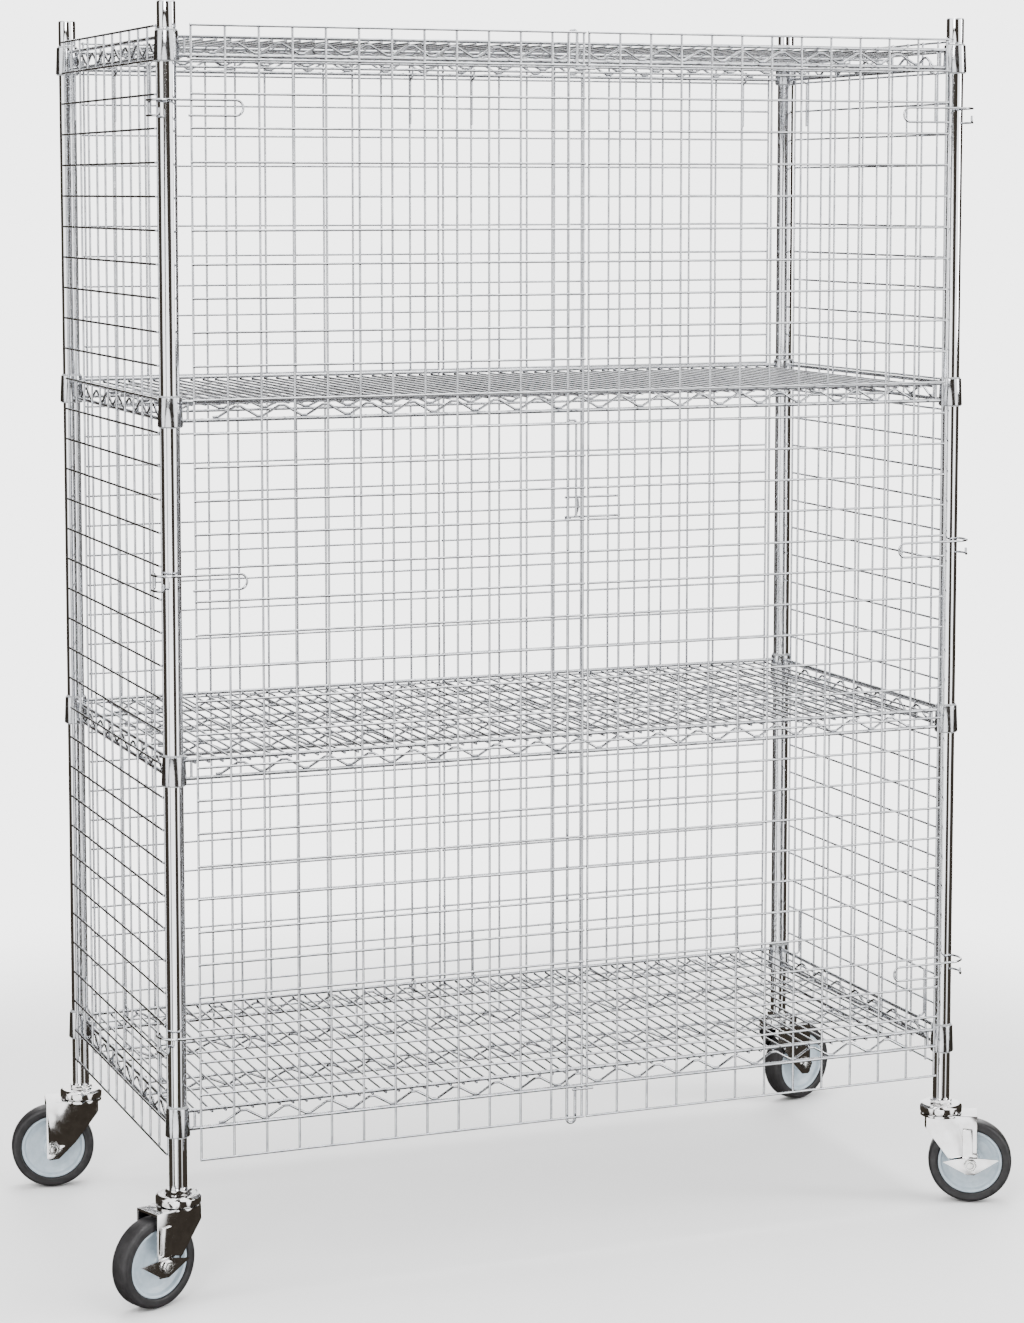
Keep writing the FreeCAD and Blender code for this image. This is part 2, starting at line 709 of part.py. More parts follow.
def axle_bolt(brake):
    """Bolt with its head, and the nut; on a braked caster the nut is outside the pedal."""
    far = PEDAL_OUT + STRAP_CLEAR if brake else FORK_OUTER
    shank = axle_cylinder(AXLE_R, -FORK_OUTER, far + BOLT_HEAD_T + 1)
    head = hexagon(BOLT_HEAD_ACROSS, BOLT_HEAD_T, V(TRAIL, -FORK_OUTER - BOLT_HEAD_T, WHEEL_R), V(0, 1, 0))
    nut = hexagon(BOLT_HEAD_ACROSS, BOLT_HEAD_T, V(TRAIL, far, WHEEL_R), V(0, 1, 0))
    nut = nut.cut(axle_cylinder(AXLE_R, far, far + BOLT_HEAD_T))
    return [shank.fuse(head).Solids[0], nut]


def hub():
    """Moulded wheel centre: boss, dished web and rim."""
    bore = AXLE_R + BOLT_CLEAR + AXLE_SLEEVE_WALL + AXLE_CLEAR
    web = WEB_T / 2
    rim_in = RIM_R - RIM_T
    profile = [
        (bore, -HUB_W / 2), (HUB_R, -HUB_W / 2), (HUB_R + 3, -web), (rim_in - 3, -web),
        (rim_in, -RIM_W / 2), (RIM_R, -RIM_W / 2), (RIM_R, RIM_W / 2), (rim_in, RIM_W / 2),
        (rim_in - 3, web), (HUB_R + 3, web), (HUB_R, HUB_W / 2), (bore, HUB_W / 2),
    ]
    return on_axle(profile)


def tyre():
    """Solid rubber tyre with a crowned tread."""
    half = TYRE_W / 2
    shoulder = 5.0
    crown = 1.5
    profile = [
        (RIM_R, -half + 2), (RIM_R + 2, -half), (WHEEL_R - shoulder, -half),
        (WHEEL_R - crown - 0.6, -half + shoulder / 2), (WHEEL_R - crown / 4, -half / 3), (WHEEL_R, 0),
        (WHEEL_R - crown / 4, half / 3), (WHEEL_R - crown - 0.6, half - shoulder / 2),
        (WHEEL_R - shoulder, half), (RIM_R + 2, half), (RIM_R, half - 2),
    ]
    return on_axle(profile)


def brake_bracket():
    """Upright strap with a wider foot, welded to the outside of the fork's leg."""
    low = V(STRAP_X, FORK_OUTER, WHEEL_R + STRAP_LIFT)
    strap = Part.makeBox(STRAP_W, STRAP_T, STRAP_L, low)
    return strap.fuse(Part.makeBox(STRAP_FOOT_W, STRAP_T, STRAP_FOOT_L, low)).removeSplitter()


def brake_pedal():
    """Flat kite-shaped pedal that turns about the axle."""
    outline = [(-41, 3), (-10, 9), (12, 10), (43, 8), (8, -15), (-4, -16)]
    points = [V(TRAIL + x, PEDAL_Y, WHEEL_R + z) for x, z in outline]
    plate = Part.Face(Part.makePolygon(points + points[:1])).extrude(V(0, PEDAL_T, 0))
    return plate.cut(axle_cylinder(AXLE_R + PEDAL_CLEAR, PEDAL_Y, PEDAL_OUT)).Solids[0]


# ---- the object

def save_posts():
    for corner, place in at_posts():
        save("post_" + corner, [post(place)])
    save("post_caps", [post_cap(place) for _, place in at_posts()])


def save_shelves():
    one = shelf()
    for level, top in SHELF_TOPS.items():
        save("shelf_" + level, [placed(one, V(0, 0, top))])
        halves = []
        for _, place in at_posts():
            halves += sleeve_halves(place, top)
        save("sleeves_" + level, halves)


def save_panels():
    """Doors and back panels are the same welded panel; the side panels are narrower."""
    wide = mesh(PANEL_COLUMNS, PANEL_PITCH)
    narrow = mesh(SIDE_COLUMNS, SIDE_PITCH)
    start = POST_X - PANEL_IN
    width = (PANEL_COLUMNS - 1) * PANEL_PITCH
    door = placed(wide, V(-start, -POST_Y - DOOR_OFFSET, 0))
    save("left_door_panel", [door])
    save("right_door_panel", [placed(wide, V(start - width, -POST_Y - DOOR_OFFSET, 0))])
    save("back_panel_right", [placed(wide, V(start, POST_Y + PANEL_OFFSET, 0), 180)])
    save("back_panel_left", [placed(wide, V(-start + width, POST_Y + PANEL_OFFSET, 0), 180)])
    side_start = POST_Y - SIDE_IN
    save("side_panel_left", [placed(narrow, V(-POST_X - PANEL_OFFSET, side_start, 0), -90)])
    save("side_panel_right", [placed(narrow, V(POST_X + PANEL_OFFSET, -side_start, 0), 90)])


def save_hooks():
    """Each panel hangs on hooks at its second and last but one uprights."""
    back = []
    near = POST_X - PANEL_IN - PANEL_PITCH
    far = CENTRE_GAP / 2 + PANEL_PITCH
    for x in (-near, -far, far, near):
        back += [placed(hook, V(x, POST_Y, 0)) for hook in panel_hooks()]
    side = []
    for y in (-POST_Y + SIDE_IN + SIDE_PITCH, POST_Y - SIDE_IN - SIDE_PITCH):
        side += [placed(hook, V(-POST_X, y, 0), 90) for hook in panel_hooks()]
        side += [placed(hook, V(POST_X, y, 0), -90) for hook in panel_hooks()]
    save("back_panel_hooks", back)
    save("side_panel_hooks", side)


def save_door_fittings():
    clips = left_clips()
    save("left_hinge_clips", clips)
    save("right_hinge_clips", [mirrored(clip) for clip in clips])
    save("latch_bar", [latch_bar()])
    save("latch_handle", latch_handle())
    save("latch_guides", [latch_guide(row) for row in GUIDE_ROWS])
    save("door_stop_fingers", [stop_finger(row) for row in FINGER_ROWS])


def save_casters():
    wheel = hub()
    tread = tyre()
    for corner, (side, trail, brake) in CASTERS.items():
        place = V(side.x * POST_X, side.y * POST_Y, 0)
        turn = math.degrees(math.atan2(trail.y, trail.x))
        save("caster_stem_" + corner, [placed(caster_stem(), place, turn)])
        bolt = axle_bolt(brake)
        pieces = {
            "fork_": [fork()],
            "swivel_balls_": swivel_balls(),
            "axle_sleeve_": [axle_sleeve()],
            "axle_bolt_": bolt,
            "hub_": [wheel],
            "tyre_": [tread],
        }
        if brake:
            pieces["brake_bracket_"] = [brake_bracket()]
            pieces["brake_pedal_"] = [brake_pedal()]
        for name, shapes in pieces.items():
            if brake < 0:
                shapes = [shape.mirror(ORIGIN, V(0, 1, 0)) for shape in shapes]
            save(name + corner, [placed(shape, place, turn) for shape in shapes])


os.makedirs("parts", exist_ok=True)
save_posts()
save_shelves()
save_panels()
save_hooks()
save_door_fittings()
save_casters()
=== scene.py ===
import json
import math
import bmesh
import bpy
from mathutils import Matrix, Vector


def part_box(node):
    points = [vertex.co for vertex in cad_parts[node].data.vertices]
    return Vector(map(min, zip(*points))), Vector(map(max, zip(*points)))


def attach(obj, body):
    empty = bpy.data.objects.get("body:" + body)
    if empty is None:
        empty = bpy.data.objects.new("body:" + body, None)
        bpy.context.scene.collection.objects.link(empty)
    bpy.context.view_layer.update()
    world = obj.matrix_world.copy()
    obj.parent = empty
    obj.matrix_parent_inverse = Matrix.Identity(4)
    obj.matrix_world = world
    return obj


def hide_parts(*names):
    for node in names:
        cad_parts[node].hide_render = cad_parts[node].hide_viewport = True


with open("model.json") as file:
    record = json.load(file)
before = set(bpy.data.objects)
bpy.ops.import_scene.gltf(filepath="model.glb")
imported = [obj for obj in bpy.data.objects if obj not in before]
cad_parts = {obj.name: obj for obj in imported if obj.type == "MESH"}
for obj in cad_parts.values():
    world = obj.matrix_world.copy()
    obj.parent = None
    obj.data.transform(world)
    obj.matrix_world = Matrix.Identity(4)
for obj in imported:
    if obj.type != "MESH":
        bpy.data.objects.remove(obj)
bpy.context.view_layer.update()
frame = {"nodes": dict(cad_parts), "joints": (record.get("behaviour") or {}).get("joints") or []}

joints = {joint["name"]: joint for joint in frame["joints"]}
MM = 0.001

# ---------------------------------------------------------------- posts
# The four posts are one-inch steel tubes, seam welded, polished and chrome plated.
# They stand on the casters' nuts, run bare through every shelf and carry the whole load.

POST_BORE = 11.5 * MM
corners = ("front_left", "front_right", "rear_left", "rear_right")
posts = {}
for corner in corners:
    low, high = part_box("post_" + corner)
    posts[corner] = Vector(((low.x + high.x) / 2, (low.y + high.y) / 2, 0))
post_low, post_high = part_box("post_front_left")
POST_R = (post_high.x - post_low.x) / 2
half_length = posts["front_right"].x
half_depth = posts["rear_left"].y


def at(x, y, z):
    return Matrix.Translation((x, y, z))


def eased(points, radius, steps=4, closed=False):
    """The same line with its corners rounded off to a radius."""
    line = []
    for i, point in enumerate(points):
        back = points[i - 1] - point
        on = points[(i + 1) % len(points)] - point
        end = not closed and i in (0, len(points) - 1)
        if end or back.angle(on) > math.pi - 0.02:
            line.append(point.copy())
            continue
        half = back.angle(on) / 2
        cut = min(radius / math.tan(half), 0.45 * back.length, 0.45 * on.length)
        bend = cut * math.tan(half)
        back.normalize()
        on.normalize()
        middle = point + (back + on).normalized() * (bend / math.sin(half))
        start = (point + back * cut - middle).normalized()
        stop = (point + on * cut - middle).normalized()
        for step in range(steps + 1):
            line.append(middle + start.slerp(stop, step / steps).normalized() * bend)
    return line


def spun(section, sides=64):
    """Turned shape about Z from (radius, height) points round its section."""
    points, rings, faces = [], [], []
    for r, z in section:
        if r < 1e-7:
            rings.append([len(points)] * sides)
            points.append(Vector((0, 0, z)))
            continue
        rings.append(list(range(len(points), len(points) + sides)))
        for side in range(sides):
            turn = 2 * math.pi * side / sides
            points.append(Vector((r * math.cos(turn), r * math.sin(turn), z)))
    for a, b in zip(rings, rings[1:] + rings[:1]):
        for side in range(sides):
            after = (side + 1) % sides
            face = list(dict.fromkeys((a[side], a[after], b[after], b[side])))
            if len(face) > 2:
                faces.append(face)
    return points, faces


def turned(section, radius, sides=64, steps=3):
    """Turned shape whose section's corners are rounded to a radius."""
    flat = eased([Vector((r, 0, z)) for r, z in section], radius, steps, closed=True)
    return spun([(max(p.x, 0), p.z) for p in flat], sides)


class Work:
    """Points and faces gathered into one piece."""

    def __init__(self):
        self.points = []
        self.faces = []

    def add(self, shape, place=None):
        points, faces = shape
        start = len(self.points)
        self.points += [place @ p for p in points] if place else points
        self.faces += [[start + i for i in face] for face in faces]

    def piece(self, name, finish, body, slot, stands_for=(), crease=38):
        mesh = bpy.data.meshes.new(name)
        mesh.from_pydata(self.points, [], self.faces)
        shape = bmesh.new()
        shape.from_mesh(mesh)
        bmesh.ops.recalc_face_normals(shape, faces=shape.faces)
        shape.to_mesh(mesh)
        shape.free()
        mesh.shade_smooth()
        mesh.set_sharp_from_angle(angle=math.radians(crease))
        mesh.materials.append(finish)
        return hang(mesh, name, body, stands_for)


def hang(mesh, name, body, stands_for=(), place=None):
    """Put a mesh in the scene on its body."""
    piece = bpy.data.objects.new(name, mesh)
    bpy.context.scene.collection.objects.link(piece)
    if place:
        piece.matrix_world = place
        bpy.context.view_layer.update()
    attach(piece, body)
    if stands_for:
        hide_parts(*stands_for)
    return piece


class Finish:
    """A material's nodes, made and linked in the order they are written."""

    def __init__(self, name, **values):
        self.material = bpy.data.materials.new(name)
        self.material.use_nodes = True
        self.tree = self.material.node_tree
        self.shader = self.tree.nodes["Principled BSDF"]
        self.places = self.node("ShaderNodeTexCoord")
        for socket, value in values.items():
            self.shader.inputs[socket.replace("_", " ")].default_value = value

    def node(self, kind, **values):
        node = self.tree.nodes.new(kind)
        for name, value in values.items():
            socket = name.replace("_", " ")
            if socket in node.inputs:
                node.inputs[socket].default_value = value
            else:
                setattr(node, name, value)
        return node

    def link(self, source, target):
        self.tree.links.new(source, target)

    def noise(self, scale, stretch=(1, 1, 1), detail=4, roughness=0.55):
        """Noise on the piece's own coordinates, in metres."""
        mapping = self.node("ShaderNodeMapping", Scale=stretch)
        texture = self.node("ShaderNodeTexNoise", Scale=scale, Detail=detail, Roughness=roughness)
        self.link(self.places.outputs["Object"], mapping.inputs["Vector"])
        self.link(mapping.outputs["Vector"], texture.inputs["Vector"])
        return texture.outputs["Fac"]

    def colours(self, source, stops, socket="Base Color"):
        """Colour ramp from a value to one of the shader's colours."""
        ramp = self.node("ShaderNodeValToRGB")
        steps = ramp.color_ramp.elements
        while len(steps) < len(stops):
            steps.new(0.5)
        for step, (place, colour) in zip(steps, stops):
            step.position = place
            step.color = (*colour, 1)
        self.link(source, ramp.inputs["Fac"])
        self.link(ramp.outputs["Color"], self.shader.inputs[socket])
        return ramp

    def spread(self, source, low, high, start=0.3, end=0.7):
        """A value spread over a range."""
        spread = self.node("ShaderNodeMapRange")
        ends = zip(("From Min", "From Max", "To Min", "To Max"), (start, end, low, high))
        for socket, value in ends:
            spread.inputs[socket].default_value = value
        self.link(source, spread.inputs["Value"])
        return spread.outputs["Result"]

    def roughness(self, source, low, high, start=0.3, end=0.7):
        self.link(self.spread(source, low, high, start, end), self.shader.inputs["Roughness"])

    def bumps(self, *layers):
        """Bump from (source, depth in metres) layers, one on another."""
        before = None
        for source, depth in layers:
            bump = self.node("ShaderNodeBump", Strength=1.0, Distance=depth)
            self.link(source, bump.inputs["Height"])
            if before:
                self.link(before, bump.inputs["Normal"])
            before = bump.outputs["Normal"]
        self.link(before, self.shader.inputs["Normal"])


# Polished chrome over tube: a faint haze along the draw and soft patches of handling.
post_chrome = Finish("polished_tube_chrome", Metallic=1.0)
haze = post_chrome.noise(9, (6, 6, 0.4))
post_chrome.colours(post_chrome.noise(5), [(0.3, (0.70, 0.71, 0.73)), (0.7, (0.82, 0.83, 0.85))])
post_chrome.roughness(haze, 0.04, 0.11)
post_chrome.bumps((post_chrome.noise(26, (1, 1, 0.25), 2), 0.00006), (post_chrome.noise(900), 0.000002))

# A rolled groove just above the top sleeve ends the bare stretch at the post's top.
GROOVE_LIFT = 0.7 * MM
GROOVE_W = 1.6 * MM
GROOVE_DEEP = 0.4 * MM
groove_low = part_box("sleeves_top")[1].z + GROOVE_LIFT
groove_high = groove_low + GROOVE_W
groove_r = POST_R - GROOVE_DEEP
for corner, place in posts.items():
    tube = Work()
    section = [
        (POST_R, post_low.z), (POST_R, groove_low), (groove_r, groove_low + GROOVE_DEEP),
        (groove_r, groove_high - GROOVE_DEEP), (POST_R, groove_high), (POST_R, post_high.z),
        (POST_BORE, post_high.z), (POST_BORE, post_low.z),
    ]
    tube.add(turned(section, 0.35 * MM, 96), at(*place))
    tube.piece("tube_" + corner, post_chrome.material, "frame", "post_chrome", ["post_" + corner])

# Each post's top is closed by a pressed cap with a rolled edge and a plug that grips the bore.
CAP_R = 12.4 * MM
CAP_RIM = 1.1 * MM
CAP_ROLL = 1.6 * MM
CAP_EDGE = 4.0 * MM
CAP_SLOPE = 1.0 * MM
CAP_DISH = 0.35 * MM
PLUG_R = POST_BORE - 0.05 * MM
cap_low, cap_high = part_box("post_caps")
caps = Work()
for place in posts.values():
    top = cap_high.z
    section = [
        (0, cap_low.z), (PLUG_R, cap_low.z), (PLUG_R, post_high.z), (CAP_R, post_high.z),
        (CAP_R, post_high.z + CAP_RIM), (CAP_R - CAP_ROLL, top), (CAP_R - CAP_EDGE, top),
        (CAP_R - CAP_EDGE - CAP_SLOPE, top - CAP_DISH), (0, top - CAP_DISH),
    ]
    caps.add(turned(section, 0.5 * MM, 64), at(place.x, place.y, 0))
cap_finish = Finish("pressed_cap_plating", Metallic=1.0)
cap_finish.colours(cap_finish.noise(300), [(0.3, (0.60, 0.61, 0.62)), (0.7, (0.74, 0.75, 0.76))])
cap_finish.roughness(cap_finish.noise(500), 0.14, 0.26)
cap_finish.bumps((cap_finish.noise(700), 0.00001))
caps.piece("pressed_caps", cap_finish.material, "frame", "cap_metal", ["post_caps"])


# ---------------------------------------------------------------- shelves
# Each shelf is welded from steel rod and wire, then plated: edge trusses with a zigzag
# between two rods, deck wires from front to back, and a tapered collar at each corner.

ROD_R = 2.75 * MM
ZIGZAG_R = 1.8 * MM
DECK_R = 1.7 * MM
INNER_ROD_R = 2.0 * MM
ROD_DROP = 7.0 * MM
TRUSS_H = 25.0 * MM
COLLAR_H = 39.0 * MM
COLLAR_R = (15.6 * MM, 17.2 * MM)
BORE_R = (14.3 * MM, 15.9 * MM)
PERIOD = 62.0 * MM
FLAT = 8.0 * MM
ZIGZAG_BEND = 4.5 * MM
TRUSS_END = 24.0 * MM
BITE = 0.3 * MM
DECK_WIRES = 59
DECK_PITCH = 19.3 * MM
DECK_PAST_ROD = 1.2 * MM
deck_z = -ROD_DROP - ROD_R - DECK_R + BITE


def drawn(path, radius, sides=12):
    """Round wire drawn along a line of points, with dressed ends."""
    tip = 0.35 * radius
    first = (path[1] - path[0]).normalized()
    last = (path[-1] - path[-2]).normalized()
    line = [path[0], path[0] + first * tip, *path[1:-1], path[-1] - last * tip, path[-1]]
    thick = [radius - tip, *[radius] * (len(line) - 2), radius - tip]
    normal = first.orthogonal().normalized()
    heading = first
    points, faces = [], []
    for i, centre in enumerate(line):
        ahead = line[min(i + 1, len(line) - 1)] - line[max(i - 1, 0)]
        ahead.normalize()
        normal = heading.rotation_difference(ahead) @ normal
        heading = ahead
        across = heading.cross(normal)
        for side in range(sides):
            turn = 2 * math.pi * side / sides
            points.append(centre + (normal * math.cos(turn) + across * math.sin(turn)) * thick[i])
    for i in range(len(line) - 1):
        for side in range(sides):
            after = (side + 1) % sides
            a = i * sides
            faces.append([a + side, a + after, a + sides + after, a + sides + side])
    faces.append(list(range(sides))[::-1])
    faces.append([len(points) - sides + side for side in range(sides)])
    return points, faces


def straight(a, b, radius, sides=12):
    return drawn([Vector(a), Vector(b)], radius, sides)


def weld_bead(radius, flat):
    """Squeezed-out bead where two wires are welded, pressed along Y."""
    section = [(0, -flat), (0.75 * radius, -0.7 * flat), (radius, 0), (0.75 * radius, 0.7 * flat), (0, flat)]
    points, faces = spun(section, 10)
    return [Vector((p.x, p.z, p.y)) for p in points], faces


def zigzag(half, high, low, y=0.0):
    """The bent wire of a truss, along X, even about its middle."""
    step = PERIOD / 2
    bends = int((half - FLAT / 2) / step)
    line = []
    for bend in range(-bends, bends + 1):
        z = low if bend % 2 else high
        line.append(Vector((bend * step - FLAT / 2, y, z)))
        line.append(Vector((bend * step + FLAT / 2, y, z)))
    return drawn(eased(line, ZIGZAG_BEND, 3), ZIGZAG_R, 10)


def edge_truss(work, span, place):
    """Rods, zigzag and end posts of one edge, between two collars."""
    top = -ROD_DROP
    bottom = top - TRUSS_H
    reach = span / 2 - COLLAR_R[0] + BITE
    end = span / 2 - TRUSS_END
    high = deck_z - DECK_R - ZIGZAG_R + BITE
    low = bottom + ROD_R + ZIGZAG_R - BITE
    for z in (top, bottom):
        work.add(straight((-reach, 0, z), (reach, 0, z), ROD_R, 16), place)
    work.add(zigzag(end - PERIOD / 4, high, low), place)
    for x in (-end, end):
        work.add(straight((x, 0, bottom), (x, 0, top), ZIGZAG_R), place)


shelf = Work()
for y in (-half_depth, half_depth):
    edge_truss(shelf, 2 * half_length, at(0, y, 0))
for x in (-half_length, half_length):
    edge_truss(shelf, 2 * half_depth, at(x, 0, 0) @ Matrix.Rotation(math.pi / 2, 4, "Z"))
bead = weld_bead(2.3 * MM, 1.2 * MM)
lay_flat = Matrix.Rotation(math.pi / 2, 4, "X")
inner_y = (-half_depth / 3, half_depth / 3)
inner_top = deck_z - DECK_R - INNER_ROD_R + BITE
inner_bottom = -ROD_DROP - TRUSS_H
for wire in range(DECK_WIRES):
    x = (wire - (DECK_WIRES - 1) / 2) * DECK_PITCH
    reach = half_depth + DECK_PAST_ROD
    shelf.add(straight((x, -reach, deck_z), (x, reach, deck_z), DECK_R, 10))
    for y in inner_y:
        shelf.add(bead, at(x, y, deck_z - DECK_R) @ lay_flat)
stand = half_length - ROD_R - ZIGZAG_R + BITE
for y in inner_y:
    for z in (inner_top, inner_bottom):
        shelf.add(straight((-stand, y, z), (stand, y, z), INNER_ROD_R))
    gap = INNER_ROD_R + ZIGZAG_R - BITE
    shelf.add(zigzag(stand - PERIOD / 4, inner_top - gap, inner_bottom + gap, y))
    for x in (-stand, stand):
        shelf.add(straight((x, y, inner_bottom - 2 * MM), (x, y, -ROD_DROP + 2 * MM), ZIGZAG_R))
collar = turned(
    [(COLLAR_R[1], -COLLAR_H), (COLLAR_R[0], 0), (BORE_R[0], 0), (BORE_R[1], -COLLAR_H)], 0.5 * MM, 72)
for place in posts.values():
    shelf.add(collar, at(place.x, place.y, 0))

# Bright zinc and chrome over drawn wire: small clouds in the plating and a fine ripple.
wire_chrome = Finish("bright_plated_wire", Metallic=1.0)
wire_chrome.colours(wire_chrome.noise(45), [
    (0.25, (0.36, 0.37, 0.39)), (0.5, (0.50, 0.51, 0.53)), (0.8, (0.64, 0.65, 0.67))])
wire_chrome.roughness(wire_chrome.noise(120), 0.09, 0.22)
wire_chrome.bumps((wire_chrome.noise(260, detail=2), 0.00003), (wire_chrome.noise(1500), 0.000004))

levels = ("bottom", "lower", "upper", "top")
shelf_tops = {level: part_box("shelf_" + level)[1].z for level in levels}
shelf_mesh = None
for level, top in shelf_tops.items():
    if shelf_mesh is None:
        welded = shelf.piece("welded_shelf_" + level, wire_chrome.material, "frame", "wire_chrome",
                             ["shelf_" + level])
        shelf_mesh = welded.data
        shelf_mesh.transform(at(0, 0, top))
    else:
        copy = shelf_mesh.copy()
        copy.transform(at(0, 0, top - shelf_tops["bottom"]))
        hang(copy, "welded_shelf_" + level, "frame", ["shelf_" + level])

# The collar drives a split plastic sleeve onto the post; its two halves lock the shelf.
SLEEVE_BORE = 12.75 * MM
SLEEVE_R = (15.86 * MM, 14.12 * MM)
sleeve_finish = Finish("moulded_sleeve", Specular_IOR_Level=0.45)
sleeve_finish.colours(sleeve_finish.noise(220), [(0.3, (0.30, 0.31, 0.32)), (0.7, (0.40, 0.41, 0.42))])
sleeve_finish.roughness(sleeve_finish.noise(400), 0.38, 0.55)
sleeve_finish.bumps((sleeve_finish.noise(1800), 0.000012))


def half_sleeve(low, high, inner, outer_low, outer_high, side):
    """Half of a tapered sleeve, open along two slits."""
    slit = 0.3 * MM
    points, faces = [], []
    steps = 32
    lip = 0.5 * MM
    section = [
        (inner, low), (outer_low - lip, low), (outer_low, low + lip), (outer_high, high - lip),
        (outer_high - lip, high), (inner, high)]
    for step in range(steps + 1):
        turn = -math.pi / 2 + math.pi * step / steps
        for r, z in section:
            ease = slit / r * (1 - 2 * step / steps)
            points.append(Vector((side * r * math.cos(turn + ease), r * math.sin(turn + ease), z)))
    count = len(section)
    for step in range(steps):
        for i in range(count):
            j = (i + 1) % count
            a = step * count
            faces.append([a + i, a + j, a + count + j, a + count + i])
    faces.append(list(range(count)))
    faces.append([steps * count + i for i in range(count)])
    return points, faces


for level in levels:
    low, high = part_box("sleeves_" + level)
    sleeves = Work()
    for place in posts.values():
        for side in (-1, 1):
            half = half_sleeve(low.z, high.z, SLEEVE_BORE, *SLEEVE_R, side)
            sleeves.add(half, at(place.x, place.y, 0))
    sleeves.piece("split_sleeves_" + level, sleeve_finish.material, "frame", "sleeve_plastic",
                  ["sleeves_" + level])


# ---------------------------------------------------------------- mesh panels and doors
# Every panel is drawn wire, laid in two layers and spot welded at each crossing: uprights
# on the inside and cross wires outside.  The doors and the back panels are alike.

MESH_R = 1.65 * MM
ROWS = 35
DOOR_UPRIGHTS = 13
SIDE_UPRIGHTS = 12
OVERHANG = 2.5 * MM
LAYER = 3.0 * MM
HALF_GAP = 4.0 * MM


def mesh_panel(columns, width, low, high):
    """Flat panel from X = 0, uprights at Y = 0 and cross wires in front of them."""
    panel = Work()
    spot = weld_bead(2.0 * MM, 1.0 * MM)
    rows = [low + OVERHANG + row * (high - low - 2 * OVERHANG) / (ROWS - 1) for row in range(ROWS)]
    for column in range(columns):
        x = column * width / (columns - 1)
        panel.add(straight((x, 0, low), (x, 0, high), MESH_R))
        for z in rows:
            panel.add(spot, at(x, -LAYER / 2, z))
    for z in rows:
        panel.add(straight((-OVERHANG, -LAYER, z), (width + OVERHANG, -LAYER, z), MESH_R))
    return panel


door_low, door_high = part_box("left_door_panel")
door_width = door_high.x - door_low.x - 2 * OVERHANG
wide_panel = mesh_panel(DOOR_UPRIGHTS, door_width, door_low.z, door_high.z)
side_low, side_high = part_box("side_panel_left")
side_width = side_high.y - side_low.y - 2 * OVERHANG
narrow_panel = mesh_panel(SIDE_UPRIGHTS, side_width, side_low.z, side_high.z)


def stood(panel, name, node, body, turn, x, y):
    """Stand a copy of a panel where its node is."""
    copy = Work()
    copy.add((panel.points, panel.faces), at(x, y, 0) @ Matrix.Rotation(math.radians(turn), 4, "Z"))
    return copy.piece(name, wire_chrome.material, body, "wire_chrome", [node])


for node, body in (("left_door_panel", "left_door"), ("right_door_panel", "right_door")):
    low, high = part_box(node)
    stood(wide_panel, "mesh_" + node, node, body, 0, low.x + OVERHANG, high.y - MESH_R)
for node in ("back_panel_left", "back_panel_right"):
    low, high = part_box(node)
    stood(wide_panel, "mesh_" + node, node, "frame", 180, high.x - OVERHANG, low.y + MESH_R)
stood(narrow_panel, "mesh_side_panel_left", "side_panel_left", "frame", -90,
      side_high.x - MESH_R, side_high.y - OVERHANG)
low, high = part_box("side_panel_right")
stood(narrow_panel, "mesh_side_panel_right", "side_panel_right", "frame", 90,
      low.x + MESH_R, low.y + OVERHANG)

# Bent wire hooks are welded inside the back and side panels' second uprights.  The lower
# ones drop over the bottom shelf's edge rod and the upper ones spring up under the top one.
HOOK_OUT = 5.2 * MM
HOOK_SHANK = 65.0 * MM
HOOK_TAIL = 11.0 * MM


def arc(centre, start, stop, steps=8):
    """Quarter of a circle from start to stop about a centre, without its first point."""
    a = start - centre
    b = stop - centre
    return [centre + a.normalized().slerp(b.normalized(), i / steps).normalized() * a.length
            for i in range(1, steps + 1)]


def panel_hook(rod_z, way):
    """Hook about a shelf's rod, with Y outwards; the shank goes up where way is 1."""
    rod = Vector((0, 0, rod_z))
    up = Vector((0, 0, way))
    out = Vector((0, HOOK_OUT, 0))
    turn = rod + up * (2 * HOOK_OUT)
    line = [turn + out + up * HOOK_SHANK, turn + out]
    line += arc(turn, turn + out, rod + up * HOOK_OUT)
    line += arc(rod, rod + up * HOOK_OUT, rod - out)
    line.append(rod - out - up * HOOK_TAIL)
    return drawn(line, MESH_R)


hook_pair = [
    panel_hook(shelf_tops["top"] - ROD_DROP - TRUSS_H, -1),
    panel_hook(shelf_tops["bottom"] - ROD_DROP, 1)]
back_low, back_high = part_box("back_panel_hooks")
panel_pitch = door_width / (DOOR_UPRIGHTS - 1)
hooks = Work()
for x in (back_low.x + MESH_R, back_high.x - MESH_R, -HALF_GAP - panel_pitch, HALF_GAP + panel_pitch):
    for hook in hook_pair:
        hooks.add(hook, at(x, half_depth, 0))
hooks.piece("back_wire_hooks", wire_chrome.material, "frame", "wire_chrome", ["back_panel_hooks"])
side_hook_low, side_hook_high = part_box("side_panel_hooks")
hooks = Work()
for y in (side_hook_low.y + MESH_R, side_hook_high.y - MESH_R):
    for hook in hook_pair:
        for x, turn in ((-half_length, 90), (half_length, -90)):
            hooks.add(hook, at(x, y, 0) @ Matrix.Rotation(math.radians(turn), 4, "Z"))
hooks.piece("side_wire_hooks", wire_chrome.material, "frame", "wire_chrome", ["side_panel_hooks"])

